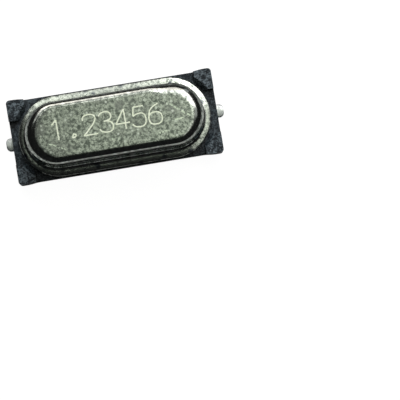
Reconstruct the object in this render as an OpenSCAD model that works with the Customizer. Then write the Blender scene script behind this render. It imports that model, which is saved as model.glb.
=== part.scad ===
// Low-profile surface-mount quartz crystal unit. A drawn can is welded to a glass-sealed
// header, which stands on a moulded insulator base. Inside, a quartz strip stands on edge
// between two clips. The two leads pass the header through glass and the base through
// holes, and are pressed flat and bent outwards along the base's underside.
// Millimetres. +X runs along the package and +Z up. The origin is the middle of the
// footprint, on the board's surface, where the undersides of both leads lie.

/* [Can] */
// Length of the can's body
body_len = 10.2; // [9.8:0.05:10.4]
// Width of the can's body
body_w = 3.56; // [3.3:0.02:3.8]
// Height of the can above the header's flange
can_h = 3.1; // [2.9:0.05:4.2]
// Thickness of the can's sheet
can_sheet = 0.2; // [0.14:0.01:0.24]
// Outside radius between the can's wall and its top
shoulder_r = 0.4; // [0.3:0.02:0.7]
// Radius of the bend between the can's wall and its flange, on the open side
foot_r = 0.15; // [0.08:0.01:0.2]

/* [Welded flange] */
// Length over the flanges of can and header
flange_len = 11.12; // [10.9:0.02:11.3]
// Width over the flanges of can and header
flange_w = 4.65; // [4.5:0.05:4.75]

/* [Header] */
// Thickness of the header's sheet
header_sheet = 0.25; // [0.2:0.01:0.28]
// Height of the header's platform above its flange
platform_h = 0.55; // [0.5:0.01:0.65]
// Gap between the platform and the inside of the can
platform_gap = 0.13; // [0.06:0.01:0.2]
// Outside radius of the platform's top edge
platform_edge_r = 0.35; // [0.3:0.01:0.4]
// Radius of the corner between platform and flange
platform_foot_r = 0.1; // [0.05:0.01:0.12]
// Distance between the two glass seals
seal_pitch = 4.88; // [4.6:0.02:5.1]
// Bore of each eyelet
eyelet_bore = 1.2; // [1.1:0.02:1.3]
// Wall of each eyelet's collar
eyelet_wall = 0.2; // [0.14:0.01:0.24]
// Radius of the rounded entry to each eyelet
eyelet_entry_r = 0.2; // [0.1:0.01:0.24]
// Height of the collars' lower ends above the header's underside
collar_lift = 0.05; // [0.02:0.01:0.12]

/* [Glass] */
// Depth of the hollow in the upper and lower faces of the glass
meniscus = 0.06; // [0.02:0.01:0.1]

/* [Leads] */
// Diameter of the lead wire
wire_d = 0.44; // [0.4:0.01:0.46]
// Thickness of the leads where they are pressed flat
lead_t = 0.21; // [0.18:0.01:0.26]
// Radius of the bend under the seals, at the lead's centre line
bend_r = 0.35; // [0.3:0.01:0.36]
// Reach of the leads beyond the ends of the base
lead_reach = 0.4; // [0.3:0.02:0.8]
// Radius of the corners of each lead's tip
tip_r = 0.26; // [0.1:0.02:0.32]
// Length of the bevel under each lead's tip
tip_bevel = 0.4; // [0.2:0.02:0.6]
// Height of the bevel under each lead's tip
tip_rise = 0.1; // [0.04:0.01:0.14]
// Diameter of the nail head on the inner end of each lead
head_d = 0.85; // [0.7:0.01:1]
// Thickness of the nail heads
head_t = 0.12; // [0.08:0.01:0.16]
// Gap between the nail heads and the header's platform
head_gap = 0.15; // [0.1:0.01:0.2]

/* [Insulator base] */
// Length of the base
base_len = 11.92; // [11.7:0.02:12.2]
// Width of the base between its corner posts
base_w = 4.8; // [4.66:0.02:5]
// Thickness of the base under the header
base_t = 0.7; // [0.55:0.01:0.9]
// Gap between the board and the base
base_lift = 0.1; // [0.05:0.01:0.15]
// Radius of the base's upright corners
base_corner_r = 0.3; // [0.12:0.01:0.4]
// Bevel round the base's lower edge
base_bevel = 0.09; // [0.04:0.01:0.11]
// Height of the corner posts above the base
post_h = 0.55; // [0.3:0.01:0.7]
// Length of the corner posts along the base
post_len = 1.02; // [0.8:0.01:1.1]
// Width of the corner posts across the base
post_w = 1.13; // [0.9:0.01:1.3]
// How far the corner posts stand proud of the base's long sides
post_proud = 0.06; // [0.01:0.01:0.08]
// Length over which the corner posts swell out of the base's long sides
post_run = 0.42; // [0.2:0.01:0.5]
// Gap between the flanges and the foot of the corner posts
post_gap = 0.12; // [0.05:0.01:0.16]
// Lean of the corner posts' inner faces, over their height
post_lean = 0.25; // [0.05:0.01:0.3]
// Gap between each lead and the sides of its channel
channel_gap = 0.18; // [0.08:0.01:0.25]
// Gap between each lead and the roof of its channel
roof_gap = 0.07; // [0.03:0.01:0.12]
// Gap between each wire and the inner end of its hole
hole_in_gap = 0.12; // [0.06:0.01:0.2]
// Gap between each lead's bend and the outer end of its hole
hole_out_gap = 0.16; // [0.06:0.01:0.4]
// Bevel at the inner end of each hole, on the underside
hole_bevel = 0.16; // [0.06:0.01:0.2]

/* [Quartz blank] */
// Length of the quartz blank
blank_len = 8; // [7.6:0.05:8.3]
// Thickness of the quartz blank in its flat middle
blank_t = 0.34; // [0.28:0.01:0.44]
// Thickness of the quartz blank at its thinned ends
blank_end_t = 0.2; // [0.14:0.01:0.26]
// Length of the flat middle of the quartz blank
blank_flat = 3.5; // [2.8:0.05:4.2]
// Gap between the clips' feet and the quartz blank
blank_lift = 0.12; // [0.11:0.01:0.2]
// Gap between the quartz blank and the inside of the can's top
blank_headroom = 0.16; // [0.08:0.01:0.4]

/* [Electrodes] */
// Thickness of the metal film
film_t = 0.02; // [0.01:0.001:0.025]
// Length of the film's middle patch
patch_len = 3.3; // [2.6:0.05:3.8]
// Margin between the middle patch and the long edges of the quartz blank
patch_margin = 0.2; // [0.1:0.01:0.4]
// Height of the strip that leads from the middle patch to a clip
strip_h = 0.8; // [0.7:0.01:1]

/* [Clips] */
// Thickness of the clips' sheet
clip_sheet = 0.1; // [0.07:0.01:0.12]
// Width of the clips' feet
clip_foot_w = 0.9; // [0.7:0.02:1.1]
// Reach of the clips' feet past the wires, towards the middle
clip_foot_back = 0.45; // [0.35:0.01:0.6]
// Width of the clips' upright arms
clip_arm_w = 1.5; // [1.3:0.02:1.8]
// Height of the clips' upright arms above the quartz blank's lower edge
clip_arm_h = 1.3; // [1:0.02:1.4]
// Length of the quartz blank that lies past each arm's inner face
clip_hold = 0.25; // [0.16:0.01:0.35]
// Gap between the film and the sides of a clip's slit
slit_gap = 0.02; // [0.01:0.005:0.04]

/* [Glue] */
// Radius of the conductive glue dots
glue_r = 0.3; // [0.26:0.01:0.36]
// Distance of the dots' centres from the clip and from the quartz blank
glue_off = 0.1; // [0.06:0.01:0.14]

/* [Hidden] */
$fn = 96;

// Cutters reach this far past the faces that they open
past = 0.1;
// The corner posts' sides start this far inside the base's sides
post_set_in = 0.01;

// Heights above the board
base_floor_z = base_lift + base_t;
flange_z = base_floor_z + header_sheet;
can_top_z = flange_z + can_h;
platform_z = flange_z + platform_h;
head_z = platform_z + head_gap;
clip_z = head_z + head_t;
blank_z = clip_z + clip_sheet + blank_lift;
blank_top_z = can_top_z - can_sheet - blank_headroom;
collar_z = base_floor_z + collar_lift;
glass_top_z = platform_z - eyelet_entry_r;
bend_z = lead_t / 2 + bend_r;
roof_z = lead_t + roof_gap;

// Outlines with round ends: the radius of the ends and the distance between their centres
body_r = body_w / 2;
body_spine = body_len - body_w;
cavity_r = body_r - can_sheet;
platform_r = cavity_r - platform_gap;
flange_r = flange_w / 2;
flange_spine = flange_len - flange_w;

// Places along the package
seal_x = seal_pitch / 2;
lead_end_x = base_len / 2 + lead_reach;
arm_x = blank_len / 2 - clip_hold;
hole_in_x = seal_x - wire_d / 2 - hole_in_gap;
hole_out_x = seal_x + bend_r + hole_out_gap;

// A lead keeps the wire's cross-section where it is pressed flat
function pressed_half_w(half_t) =
    half_t + PI * (pow(wire_d / 2, 2) - pow(half_t, 2)) / (4 * half_t);
lead_w = 2 * pressed_half_w(lead_t / 2);
channel_w = lead_w + 2 * channel_gap;

// Large arcs thin the quartz blank from its flat middle to its ends
thin_run = (blank_len - blank_flat) / 2;
thin_drop = (blank_t - blank_end_t) / 2;
thin_r = (pow(thin_run, 2) + pow(thin_drop, 2)) / (2 * thin_drop);
function blank_half_t(x) =
    blank_t / 2 - thin_r + sqrt(pow(thin_r, 2) - pow(max(0, x - blank_flat / 2), 2));
blank_mid_z = (blank_z + blank_top_z) / 2;

// Rings and sides of the swept bend of a lead. The rings lie a hair inside the round wire and
// the flat lead that they join, so that the faces which meet there share no edge.
bend_steps = 14;
lead_sides = 32;
ring_fit = 0.99;

// ---- Shared shapes ----

// What is drawn for the right end, turned round for the left one
module at_end(side) {
    rotate([0, 0, side < 0 ? 180 : 0]) children();
}

// Flat outline with round ends
module stadium(spine, r) {
    square([spine, 2 * r], center = true);
    for (side = [-1, 1]) translate([side * spine / 2, 0]) circle(r);
}

// A half section, drawn right of the axis, carried round an outline with round ends
module carry_round(spine) {
    for (side = [-1, 1]) {
        translate([side * spine / 2, 0, 0])
            rotate([0, 0, -90 * side])
            rotate_extrude(angle = 180) children();
        mirror([0, side < 0 ? 1 : 0, 0])
            rotate([90, 0, 90])
            linear_extrude(spine, center = true) children();
    }
}

// Half section of a hat with a rounded top edge
module hat_section(r, h, edge_r) {
    square([r, h - edge_r]);
    square([r - edge_r, h]);
    translate([r - edge_r, h - edge_r]) circle(edge_r);
}

// Filling of an inside corner, which lies at the origin
module corner_fill(r) {
    difference() {
        square(r);
        translate([r, r]) circle(r);
    }
}

// ---- Can and header ----

// Outside of the drawn body, with the bend at its foot
module can_outer_section() {
    hat_section(body_r, can_h, shoulder_r);
    translate([body_r, can_sheet]) corner_fill(foot_r);
}

// Inside of the drawn body, with its flared mouth
module can_inner_section() {
    translate([0, -past]) hat_section(cavity_r, can_h - can_sheet + past, shoulder_r - can_sheet);
    translate([cavity_r, 0]) corner_fill(foot_r + can_sheet);
}

module can() {
    color("silver")
    translate([0, 0, flange_z])
    difference() {
        union() {
            linear_extrude(can_sheet) stadium(flange_spine, flange_r);
            carry_round(body_spine) can_outer_section();
        }
        carry_round(body_spine) can_inner_section();
    }
}

module platform_outer_section() {
    hat_section(platform_r, header_sheet + platform_h, platform_edge_r);
    translate([platform_r, header_sheet]) corner_fill(platform_foot_r);
}

module platform_inner_section() {
    inner_r = platform_r - header_sheet;
    translate([0, -past]) hat_section(inner_r, platform_h + past, platform_edge_r - header_sheet);
    translate([inner_r, 0]) corner_fill(platform_foot_r + header_sheet);
}

// Round hole with a rounded entry at its upper end
module eyelet_hole() {
    translate([0, 0, -past]) cylinder(d = eyelet_bore, h = header_sheet + platform_h + 2 * past);
    translate([0, 0, header_sheet + platform_h])
        rotate_extrude()
        translate([eyelet_bore / 2, 0])
        mirror([0, 1])
        corner_fill(eyelet_entry_r);
}

module header() {
    color("gainsboro")
    translate([0, 0, base_floor_z])
    difference() {
        union() {
            difference() {
                union() {
                    linear_extrude(header_sheet) stadium(flange_spine, flange_r);
                    carry_round(body_spine) platform_outer_section();
                }
                carry_round(body_spine) platform_inner_section();
            }
            for (side = [-1, 1])
                translate([side * seal_x, 0, collar_lift])
                cylinder(d = eyelet_bore + 2 * eyelet_wall, h = platform_h + header_sheet / 2 - collar_lift);
        }
        for (side = [-1, 1]) translate([side * seal_x, 0, 0]) eyelet_hole();
    }
}

// ---- Glass seals ----

// Glass between an eyelet and its wire, hollow above and below
module glass_seal(side) {
    wire_r = wire_d / 2;
    half_gap = (eyelet_bore / 2 - wire_r) / 2;
    hollow_r = (pow(half_gap, 2) + pow(meniscus, 2)) / (2 * meniscus);
    color("darkslateblue")
    translate([side * seal_x, 0, 0])
    rotate_extrude()
    difference() {
        translate([wire_r, collar_z]) square([2 * half_gap, glass_top_z - collar_z]);
        translate([wire_r + half_gap, glass_top_z - meniscus + hollow_r]) circle(hollow_r);
        translate([wire_r + half_gap, collar_z + meniscus - hollow_r]) circle(hollow_r);
    }
}

// ---- Leads ----

// One ring of points round the bend, from 0 where the wire points down to 1 where it lies flat
function bend_ring(t) =
    let (
        angle = 90 * t,
        ease = t * t * (3 - 2 * t),
        half_t = (wire_d * (1 - ease) + lead_t * ease) / 2,
        flat = pressed_half_w(half_t) - half_t,
        side_r = ring_fit * half_t,
        centre = [seal_x + bend_r * (1 - cos(angle)), 0, bend_z - bend_r * sin(angle)],
        outward = [-cos(angle), 0, -sin(angle)]
    )
    [for (i = [0:lead_sides - 1])
        let (a = 360 * (i + 0.5) / lead_sides)
        centre + [0, sign(cos(a)) * flat + side_r * cos(a), 0] + side_r * sin(a) * outward];

// The bend, where the round wire changes into the flat lead
module lead_bend() {
    points = [for (k = [0:bend_steps]) each bend_ring(k / bend_steps)];
    sides = [for (k = [0:bend_steps - 1], i = [0:lead_sides - 1])
        let (
            here = k * lead_sides + i,
            next = k * lead_sides + (i + 1) % lead_sides
        )
        each [[here, next, next + lead_sides], [here, next + lead_sides, here + lead_sides]]];
    upper_end = [for (i = [lead_sides - 1:-1:0]) i];
    lower_end = [for (i = [0:lead_sides - 1]) bend_steps * lead_sides + i];
    polyhedron(points, concat(sides, [upper_end, lower_end]));
}

// The flat stretch along the base, with a rounded and bevelled tip
module lead_flat() {
    start_x = seal_x + bend_r;
    flat_len = lead_end_x - start_x;
    side_x = lead_w / 2 - lead_t / 2;
    difference() {
        intersection() {
            translate([start_x, 0, lead_t / 2])
                rotate([90, 0, 90])
                linear_extrude(flat_len)
                stadium(2 * side_x, lead_t / 2);
            linear_extrude(lead_t) {
                translate([start_x, -lead_w / 2]) square([flat_len - tip_r, lead_w]);
                translate([start_x, tip_r - lead_w / 2]) square([flat_len, lead_w - 2 * tip_r]);
                for (side = [-1, 1])
                    translate([lead_end_x - tip_r, side * (lead_w / 2 - tip_r)]) circle(tip_r);
            }
        }
        rotate([90, 0, 0])
            linear_extrude(lead_w + 2 * past, center = true)
            polygon([
                [lead_end_x - tip_bevel, 0],
                [lead_end_x + past, tip_rise * (1 + past / tip_bevel)],
                [lead_end_x + past, -past],
                [lead_end_x - tip_bevel, -past]
            ]);
    }
}

module lead(side) {
    color("lightgray")
    at_end(side) {
        translate([seal_x, 0, head_z]) cylinder(d = head_d, h = head_t);
        translate([seal_x, 0, bend_z]) cylinder(d = wire_d, h = head_z - bend_z);
        lead_bend();
        lead_flat();
    }
}

// ---- Insulator base ----

function bevelled_side(w, h) = [
    [base_bevel - w / 2, 0], [w / 2 - base_bevel, 0], [w / 2, base_bevel],
    [w / 2, h], [-w / 2, h], [-w / 2, base_bevel]
];

// Block with round upright corners and a bevel round its lower edge
module bevelled_block(len, w, h) {
    r = base_corner_r;
    rotate([90, 0, 0]) linear_extrude(w - 2 * r, center = true) polygon(bevelled_side(len, h));
    rotate([90, 0, 90]) linear_extrude(len - 2 * r, center = true) polygon(bevelled_side(w, h));
    for (x = [r - len / 2, len / 2 - r], y = [r - w / 2, w / 2 - r]) translate([x, y, 0]) {
        cylinder(r1 = r - base_bevel, r2 = r, h = base_bevel);
        translate([0, 0, base_bevel]) cylinder(r = r, h = h - base_bevel);
    }
}

// The slab between the corner posts: one bar from end to end, one from side to side
module base_slab() {
    rotate([90, 0, 0])
        linear_extrude(base_w - post_w, center = true)
        polygon(bevelled_side(base_len, base_t));
    rotate([90, 0, 90])
        linear_extrude(base_len - post_len, center = true)
        polygon(bevelled_side(base_w, base_t));
}

// The four corner posts, which run down to the base's underside and swell out of its long sides
module corner_posts() {
    side_y = base_w / 2;
    inner_x = base_len / 2 - post_len;
    intersection() {
        bevelled_block(base_len, base_w + 2 * post_proud, base_t + post_h);
        for (x = [0, 1], y = [0, 1]) mirror([x, 0, 0]) mirror([0, y, 0])
            translate([0, 0, -past])
            linear_extrude(base_t + post_h + 2 * past)
            polygon([
                [inner_x, side_y - post_w],
                [inner_x, side_y - post_set_in],
                [inner_x + post_run, side_y + post_proud],
                [base_len / 2 + past, side_y + post_proud],
                [base_len / 2 + past, side_y - post_w]
            ]);
    }
}

// Room for the flanges between the corner posts
module flange_room() {
    room_r = flange_r + post_gap;
    slope = post_lean / post_h;
    for (side = [-1, 1])
        translate([side * flange_spine / 2, 0, base_t])
        cylinder(r1 = room_r, r2 = room_r + post_lean + slope * past, h = post_h + past);
}

// Channel and hole for one lead, with the bevel at the hole's inner end
module lead_way() {
    roof = roof_z - base_lift;
    end_x = base_len / 2 + past;
    rotate([90, 0, 0])
        linear_extrude(channel_w, center = true)
        polygon([
            [hole_in_x - hole_bevel - past, -past],
            [hole_in_x, hole_bevel],
            [hole_in_x, base_t + past],
            [hole_out_x, base_t + past],
            [hole_out_x, roof],
            [end_x, roof],
            [end_x, -past]
        ]);
}

module insulator_base() {
    color("darkslategray")
    translate([0, 0, base_lift])
    difference() {
        union() {
            base_slab();
            corner_posts();
        }
        flange_room();
        for (side = [-1, 1]) at_end(side) lead_way();
    }
}

// ---- Quartz blank and its electrodes ----

// Plan of the quartz blank, grown by a film on both faces
module blank_plan(grown) {
    full_t = blank_t + 2 * grown;
    square([blank_flat, full_t], center = true);
    for (side = [-1, 1]) intersection() {
        translate([side * (blank_flat + thin_run) / 2, 0]) square([thin_run, full_t], center = true);
        intersection_for(face = [-1, 1])
            translate([side * blank_flat / 2, face * (blank_t / 2 - thin_r)])
            circle(thin_r + grown, $fn = 256);
    }
}

module quartz_blank() {
    color("lightcyan")
    translate([0, 0, blank_z])
    linear_extrude(blank_top_z - blank_z)
    blank_plan(0);
}

// Film on one face of the blank: a middle patch and a strip to the clip at one end
module electrode(side) {
    reach = blank_t / 2 + 2 * film_t;
    color("goldenrod")
    at_end(side)
    difference() {
        intersection() {
            translate([0, 0, blank_z]) linear_extrude(blank_top_z - blank_z) blank_plan(film_t);
            rotate([90, 0, 180]) linear_extrude(reach) {
                translate([-patch_len / 2, blank_z + patch_margin])
                    square([patch_len, blank_top_z - blank_z - 2 * patch_margin]);
                translate([-blank_len / 2, blank_mid_z - strip_h / 2])
                    square([blank_len / 2, strip_h]);
            }
        }
        quartz_blank();
    }
}

// ---- Clips and glue ----

// Rectangle with its lower right corner rounded
module round_corner(w, h, r) {
    square([w - r, h]);
    translate([0, r]) square([w, h - r]);
    translate([w - r, r]) circle(r);
}

// Strip welded to a nail head and bent up, with a slit for the end of the quartz blank
module clip(side) {
    bend_out_r = 2 * clip_sheet;
    foot_x = seal_x - clip_foot_back;
    reach = arm_x + clip_sheet - foot_x;
    slit_w = 2 * (blank_half_t(arm_x) + film_t + slit_gap);
    rise = blank_z + clip_arm_h - clip_z;
    color("lightsteelblue")
    at_end(side)
    difference() {
        union() {
            translate([foot_x, 0, clip_z])
                rotate([90, 0, 0])
                linear_extrude(clip_foot_w, center = true)
                difference() {
                    round_corner(reach, rise, bend_out_r);
                    translate([-past, clip_sheet])
                        round_corner(reach - clip_sheet + past, rise, bend_out_r - clip_sheet);
                }
            translate([arm_x, -clip_arm_w / 2, clip_z + bend_out_r])
                cube([clip_sheet, clip_arm_w, rise - bend_out_r]);
        }
        translate([arm_x - past, -slit_w / 2, blank_z])
            cube([clip_sheet + 2 * past, slit_w, clip_arm_h + past]);
    }
}

// Dot of conductive glue in the corner between a clip's arm and one face of the quartz blank,
// on the electrode's strip or, on the other face, on the quartz itself
module glue(side, on_strip) {
    face = on_strip ? 1 : -1;
    reach = glue_r + glue_off;
    color("dimgray")
    at_end(side)
    difference() {
        intersection() {
            translate([arm_x - glue_off, face * (blank_half_t(arm_x) + glue_off), blank_mid_z])
                sphere(glue_r);
            translate([arm_x - reach, face * reach, blank_mid_z]) cube(2 * reach, center = true);
        }
        quartz_blank();
        electrode(1);
    }
}

can();
header();
glass_seal(-1);  // glass_seal_left
glass_seal(1);  // glass_seal_right
lead(-1);  // lead_left
lead(1);  // lead_right
clip(-1);  // clip_left
clip(1);  // clip_right
quartz_blank();
electrode(-1);  // electrode_front
electrode(1);  // electrode_rear
glue(-1, true);  // glue_left_front
glue(-1, false);  // glue_left_rear
glue(1, false);  // glue_right_front
glue(1, true);  // glue_right_rear
insulator_base();
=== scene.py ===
import math

import bmesh
import bpy
from mathutils import Matrix, Vector


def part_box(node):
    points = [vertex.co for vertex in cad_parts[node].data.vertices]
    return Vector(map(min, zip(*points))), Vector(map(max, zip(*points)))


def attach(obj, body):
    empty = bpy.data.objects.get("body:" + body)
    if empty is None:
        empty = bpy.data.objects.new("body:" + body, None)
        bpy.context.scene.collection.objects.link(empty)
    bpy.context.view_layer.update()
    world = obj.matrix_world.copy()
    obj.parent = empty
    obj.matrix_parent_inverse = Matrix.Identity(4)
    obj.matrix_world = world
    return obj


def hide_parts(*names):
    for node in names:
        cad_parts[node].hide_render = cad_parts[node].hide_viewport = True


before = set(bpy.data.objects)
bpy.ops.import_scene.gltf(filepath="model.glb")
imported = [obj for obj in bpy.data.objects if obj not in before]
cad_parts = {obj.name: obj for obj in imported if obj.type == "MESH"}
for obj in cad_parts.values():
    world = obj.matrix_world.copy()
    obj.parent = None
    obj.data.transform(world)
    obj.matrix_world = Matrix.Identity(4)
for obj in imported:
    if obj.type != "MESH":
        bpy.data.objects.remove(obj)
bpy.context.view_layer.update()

scene = bpy.context.scene

# Shapes are drawn in millimetres, X along the package, and brought to metres when they are done
mm = 0.001
halfTurn = math.pi
quarterTurn = math.pi / 2


def boxInMm(node):
    # The lowest and highest corners of a CAD node
    low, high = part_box(node)
    return Vector(low) / mm, Vector(high) / mm


camera = {
    "place": (0.33, -10.38, 138.5),
    "target": (4.13, -4.96, 1.25),
    "roll": 9.45,  # how far the package's long axis rises to the right, in degrees
    "lens": 215.5,
    "sensor": 36.0,
    "nearest": 0.01,  # this and the next in metres
    "farthest": 5.0,
}


def addCamera(look):
    data = bpy.data.cameras.new("camera")
    data.lens = look["lens"]
    data.sensor_width = look["sensor"]
    data.clip_start = look["nearest"]
    data.clip_end = look["farthest"]
    rig = bpy.data.objects.new("camera", data)
    scene.collection.objects.link(rig)
    place = Vector(look["place"]) * mm
    ahead = (Vector(look["target"]) * mm - place).normalized()
    roll = math.radians(look["roll"])
    right = ahead.cross(Vector((math.sin(roll), math.cos(roll), 0))).normalized()
    up = right.cross(ahead)
    turn = Matrix((right, up, -ahead)).transposed()
    rig.matrix_world = Matrix.Translation(place) @ turn.to_4x4()
    scene.camera = rig


addCamera(camera)
print("camera placed")


def addNode(tree, kind, values=None, **settings):
    # The values are numbers, colours or other nodes' outputs, under the names of the inputs they go to
    node = tree.nodes.new(kind)
    for name, value in settings.items():
        setattr(node, name, value)
    for name, value in (values or {}).items():
        socket = node.inputs[name]
        if isinstance(value, bpy.types.NodeSocket):
            tree.links.new(value, socket)
        else:
            socket.default_value = value
    return node


def calc(tree, operation, *values, clamp=False):
    node = addNode(tree, "ShaderNodeMath", dict(enumerate(values)), operation=operation, use_clamp=clamp)
    return node.outputs[0]


def vectorCalc(tree, operation, *values):
    node = addNode(tree, "ShaderNodeVectorMath", dict(enumerate(values)), operation=operation)
    return node.outputs["Value" if operation in ("DOT_PRODUCT", "DISTANCE", "LENGTH") else "Vector"]


def blendColours(tree, mask, first, second):
    node = addNode(tree, "ShaderNodeMix", {0: mask, 6: first, 7: second}, data_type="RGBA")
    return node.outputs[2]


def fadeBetween(tree, value, start, end, low=0.0, high=1.0):
    node = addNode(tree, "ShaderNodeMapRange", {"Value": value, "From Min": start, "From Max": end,
                                                "To Min": low, "To Max": high})
    return node.outputs[0]


def noiseMask(tree, place, scale, detail):
    node = addNode(tree, "ShaderNodeTexNoise", {"Vector": place, "Scale": scale, "Detail": detail})
    return node.outputs[0]


def objectPlace(tree):
    # Object coordinates in millimetres
    place = addNode(tree, "ShaderNodeTexCoord").outputs["Object"]
    return addNode(tree, "ShaderNodeMapping", {"Vector": place, "Scale": (1 / mm,) * 3}).outputs[0]


def useGroup(tree, group, values):
    return addNode(tree, "ShaderNodeGroup", values, node_tree=group).outputs[0]


def startGroup(name, sockets, result):
    # Every group reads a place and gives one varying mask
    group = bpy.data.node_groups.new(name, "ShaderNodeTree")
    for label, value in sockets.items():
        kind = "NodeSocketFloat" if isinstance(value, float) else "NodeSocketVector"
        socket = group.interface.new_socket(name=label, in_out="INPUT", socket_type=kind)
        socket.default_value = value
    group.interface.new_socket(name=result, in_out="OUTPUT", socket_type="NodeSocketFloat")
    given = group.nodes.new("NodeGroupInput").outputs
    return group, given, group.nodes.new("NodeGroupOutput").inputs[0]


def makeGrain():
    # Two sizes of blotch, mixed
    finer = 2.7  # how many times smaller the fine blotches are
    group, given, out = startGroup(
        "grain", {"Place": (0, 0, 0), "Blotch Size": 0.2, "Fine Share": 0.4}, "Grain")
    scale = calc(group, "DIVIDE", 1.0, given["Blotch Size"])
    fineScale = calc(group, "MULTIPLY", scale, finer)
    coarse = noiseMask(group, given["Place"], scale, 2.0)
    fine = noiseMask(group, given["Place"], fineScale, 1.0)
    mixed = addNode(group, "ShaderNodeMix", {0: given["Fine Share"], 2: coarse, 3: fine})
    group.links.new(mixed.outputs[0], out)
    return group


def keepShare(group, cells, mask, share):
    # Keeps the mask in a share of the cells, picked by the cells' own colours
    pick = addNode(group, "ShaderNodeSeparateColor", {"Color": cells.outputs["Color"]}).outputs[0]
    return calc(group, "MULTIPLY", mask, calc(group, "LESS_THAN", pick, share))


def makeSpecks():
    # Small round specks, in a share of the cells
    edge = (0.4, 1.0)  # a speck fades out between these shares of its size
    group, given, out = startGroup(
        "specks", {"Place": (0, 0, 0), "Spacing": 0.4, "Speck Size": 0.1, "Share": 0.3}, "Specks")
    scale = calc(group, "DIVIDE", 1.0, given["Spacing"])
    cells = addNode(group, "ShaderNodeTexVoronoi", {"Vector": given["Place"], "Scale": scale})
    reach = calc(group, "MULTIPLY", given["Speck Size"], scale)
    distance = calc(group, "DIVIDE", cells.outputs["Distance"], reach)
    near = fadeBetween(group, distance, *edge, 1.0, 0.0)
    group.links.new(keepShare(group, cells, near, given["Share"]), out)
    return group


def makeScratches():
    # Short straight scratches, all turned one way
    edge = (0.05, 0.2)  # a scratch fades out between these shares of its cell
    group, given, out = startGroup(
        "scratches", {"Place": (0, 0, 0), "Turn": 0.0, "Length": 1.0, "Spacing": 0.2, "Share": 0.2},
        "Scratches")
    turned = addNode(group, "ShaderNodeVectorRotate", {"Vector": given["Place"], "Angle": given["Turn"]})
    across = calc(group, "DIVIDE", 1.0, given["Spacing"])
    along = calc(group, "DIVIDE", 1.0, given["Length"])
    stretch = addNode(group, "ShaderNodeCombineXYZ", {"X": along, "Y": across, "Z": across})
    squeezed = vectorCalc(group, "MULTIPLY", turned.outputs[0], stretch.outputs[0])
    cells = addNode(group, "ShaderNodeTexVoronoi", {"Vector": squeezed, "Scale": 1.0})
    line = fadeBetween(group, cells.outputs["Distance"], *edge, 1.0, 0.0)
    group.links.new(keepShare(group, cells, line, given["Share"]), out)
    return group


def makeScratchLine():
    # One scratch between two points, broken up by a noise
    noiseScale = 7.0
    gaps = (0.42, 0.58)  # the noise breaks the scratch between these
    group, given, out = startGroup(
        "scratchLine", {"Place": (0, 0, 0), "From": (0, 0, 0), "To": (1, 0, 0), "Width": 0.05}, "Scratch")
    start = vectorCalc(group, "SUBTRACT", given["Place"], given["From"])
    whole = vectorCalc(group, "SUBTRACT", given["To"], given["From"])
    run = vectorCalc(group, "DOT_PRODUCT", start, whole)
    full = vectorCalc(group, "DOT_PRODUCT", whole, whole)
    share = calc(group, "DIVIDE", run, full, clamp=True)
    foot = addNode(group, "ShaderNodeVectorMath", {0: whole, "Scale": share}, operation="SCALE").outputs[0]
    away = vectorCalc(group, "DISTANCE", start, foot)
    near = calc(group, "SUBTRACT", 1.0, calc(group, "DIVIDE", away, given["Width"]), clamp=True)
    broken = fadeBetween(group, noiseMask(group, given["Place"], noiseScale, 1.0), *gaps)
    group.links.new(calc(group, "MULTIPLY", near, broken), out)
    return group


def makeWornEdge():
    # Where the surface turns sharply, broken up by a noise
    bend = (0.98, 0.8)  # how alike the soft and the true normal are where wear starts and where it is full
    gaps = (0.35, 0.65)
    group, given, out = startGroup("wornEdge", {"Place": (0, 0, 0), "Reach": 0.03, "Break Up": 0.1}, "Edge")
    radius = calc(group, "MULTIPLY", given["Reach"], mm)
    soft = addNode(group, "ShaderNodeBevel", {"Radius": radius}, samples=4)
    true = addNode(group, "ShaderNodeNewGeometry").outputs["Normal"]
    turned = fadeBetween(group, vectorCalc(group, "DOT_PRODUCT", soft.outputs[0], true), *bend)
    scale = calc(group, "DIVIDE", 1.0, given["Break Up"])
    broken = fadeBetween(group, noiseMask(group, given["Place"], scale, 2.0), *gaps)
    group.links.new(calc(group, "MULTIPLY", turned, broken), out)
    return group


grain = makeGrain()
specks = makeSpecks()
scratches = makeScratches()
scratchLine = makeScratchLine()
wornEdge = makeWornEdge()
print("shared effects made")

canLow, canHigh = boxInMm("can")
canTop = canHigh.z
canSheet = 0.2
flangeTop = canLow.z + canSheet
noiseSpan = (0.3, 0.7)  # most of a noise lies between these
fullSpan = (0.0, 1.0)


def startMaterial(name, settings):
    material = bpy.data.materials.new(name)
    material.use_nodes = True
    tree = material.node_tree
    shader = tree.nodes["Principled BSDF"]
    for label, value in settings.items():
        shader.inputs[label].default_value = value
    return material, tree, shader, objectPlace(tree)


def blotchMask(tree, place, size, fineShare):
    return useGroup(tree, grain, {"Place": place, "Blotch Size": size, "Fine Share": fineShare})


def speckMask(tree, place, spacing, size, share):
    return useGroup(tree, specks, {"Place": place, "Spacing": spacing, "Speck Size": size, "Share": share})


def scratchMask(tree, place, turn, length, spacing, share):
    return useGroup(tree, scratches, {"Place": place, "Turn": turn, "Length": length, "Spacing": spacing,
                                      "Share": share})


def linkFinish(tree, shader, colour, mask, roughness, span=noiseSpan):
    # The roughness goes from its first value to its second as the mask rises
    tree.links.new(colour, shader.inputs["Base Color"])
    tree.links.new(fadeBetween(tree, mask, *span, *roughness), shader.inputs["Roughness"])


def addBump(tree, shader, height, depth):
    # The depth is in millimetres
    bump = addNode(tree, "ShaderNodeBump", {"Height": height, "Distance": depth * mm})
    tree.links.new(bump.outputs[0], shader.inputs["Normal"])


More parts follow.
